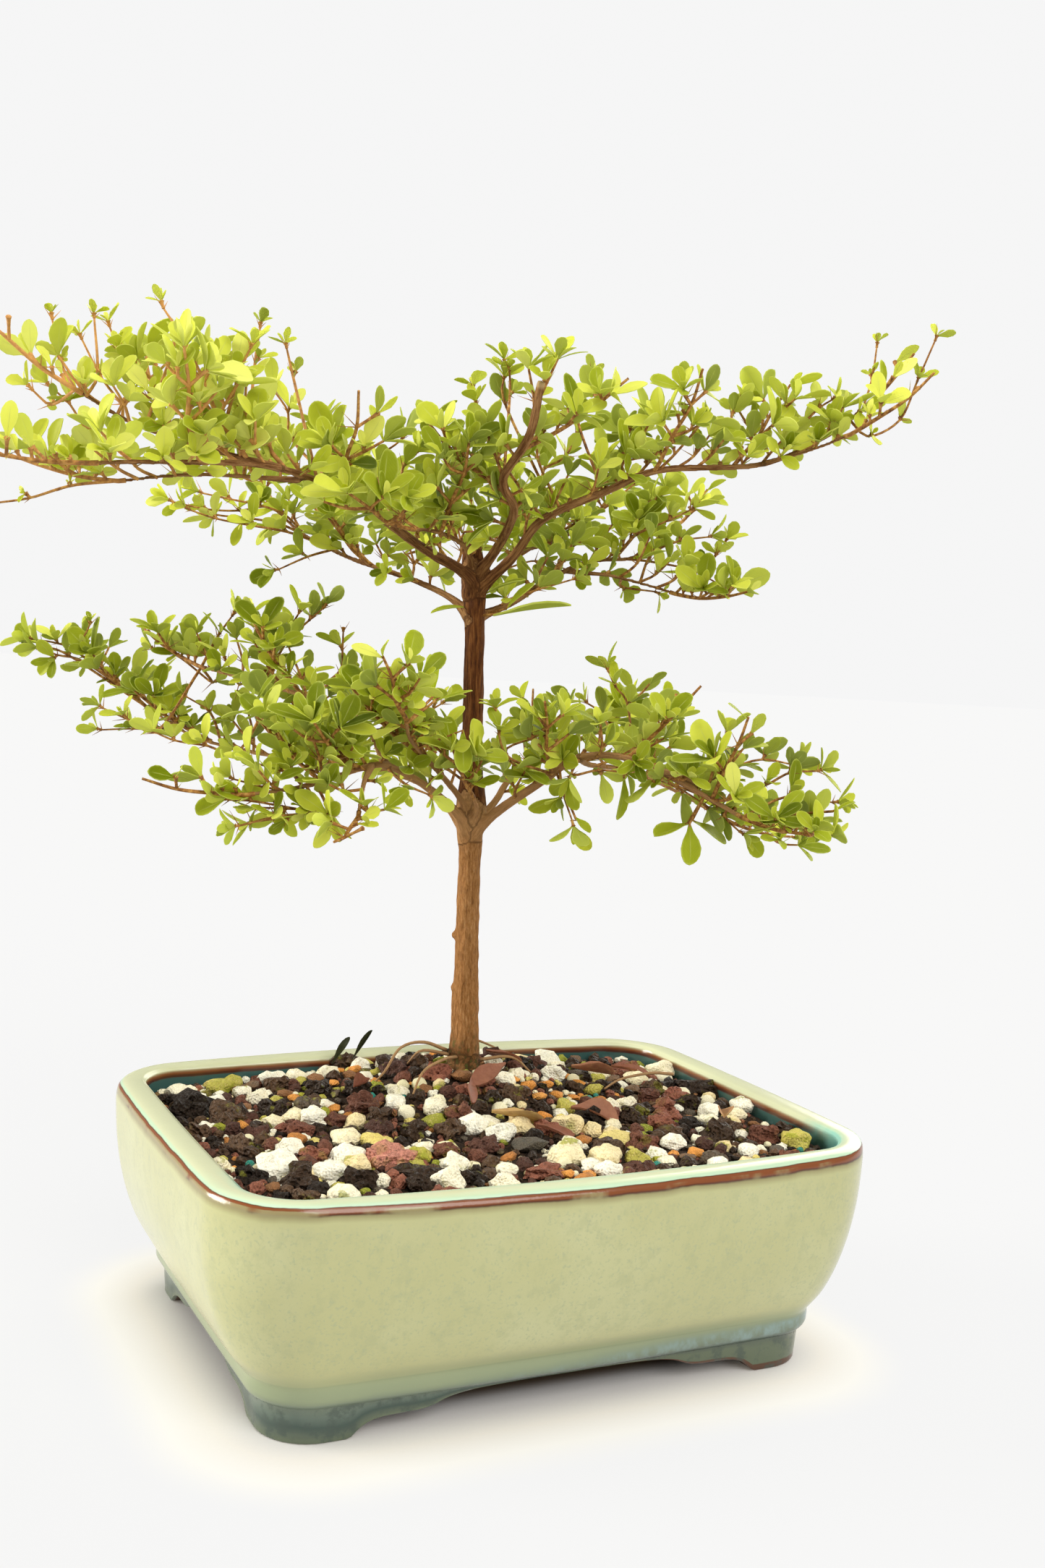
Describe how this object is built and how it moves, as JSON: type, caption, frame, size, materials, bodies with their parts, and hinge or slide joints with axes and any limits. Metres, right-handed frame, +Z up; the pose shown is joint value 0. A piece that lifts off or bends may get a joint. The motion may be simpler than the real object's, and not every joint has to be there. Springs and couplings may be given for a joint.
{
  "type": "bonsai tree",
  "caption": "Small black olive tree trained in two leafy tiers on a bare trunk, growing in gritty soil in a rounded rectangular glazed pot on corner feet.",
  "frame": {"origin": "on the table that the pot's feet stand on, under the middle of the whole object's box", "axes": "+Z up; +X along the pot's long side, to the right as the front is seen; -Y towards the front"},
  "size_m": [0.2964, 0.2438, 0.3125],
  "materials": {
    "glaze": "gloss",
    "soil": "matte",
    "bark": "matte",
    "leaf": "satin",
    "drain_mesh": "matte"
  },
  "bodies": {
    "root": {"pot": "glaze", "soil": "soil", "trunk": "bark", "drain_mesh_left": "drain_mesh", "drain_mesh_right": "drain_mesh", "cut_leader_stem_1": "leaf", "cut_leader_stem_2": "leaf", "lower_back_left_stem_1": "leaf", "lower_back_left_stem_2": "leaf", "lower_back_left_tip": "leaf", "lower_back_right_stem_1": "leaf", "lower_back_right_stem_2": "leaf", "lower_back_right_tip": "leaf", "lower_back_stem_1": "leaf", "lower_back_tip": "leaf", "lower_front_left_stem_1": "leaf", "lower_front_left_tip": "leaf", "lower_front_tip": "leaf", "lower_left_near_tip": "leaf", "lower_left_rising_stem_1": "leaf", "lower_left_rising_tip": "leaf", "lower_left_stem_1": "leaf", "lower_left_stem_2": "leaf", "lower_left_tip": "leaf", "lower_right_back_stem_1": "leaf", "lower_right_back_tip": "leaf", "lower_right_stem_1": "leaf", "lower_right_stem_2": "leaf", "lower_right_stem_3": "leaf", "lower_right_tip": "leaf", "upper_back_left_stem_1": "leaf", "upper_back_left_stem_2": "leaf", "upper_back_left_tip": "leaf", "upper_back_right_stem_1": "leaf", "upper_back_right_tip": "leaf", "upper_back_stem_1": "leaf", "upper_back_stem_2": "leaf", "upper_back_tip": "leaf", "upper_front_stem_1": "leaf", "upper_front_tip": "leaf", "upper_left_low_tip": "leaf", "upper_left_rising_stem_1": "leaf", "upper_left_rising_stem_2": "leaf", "upper_left_rising_tip": "leaf", "upper_left_stem_1": "leaf", "upper_left_stem_2": "leaf", "upper_left_stem_3": "leaf", "upper_left_stem_4": "leaf", "upper_left_tip": "leaf", "upper_right_back_stem_1": "leaf", "upper_right_back_stem_2": "leaf", "upper_right_back_tip": "leaf", "upper_right_fork_tip": "leaf", "upper_right_low_tip": "leaf", "upper_right_stem_1": "leaf", "upper_right_stem_2": "leaf", "upper_right_stem_3": "leaf", "upper_right_tip": "leaf"}
  },
  "joints": []
}
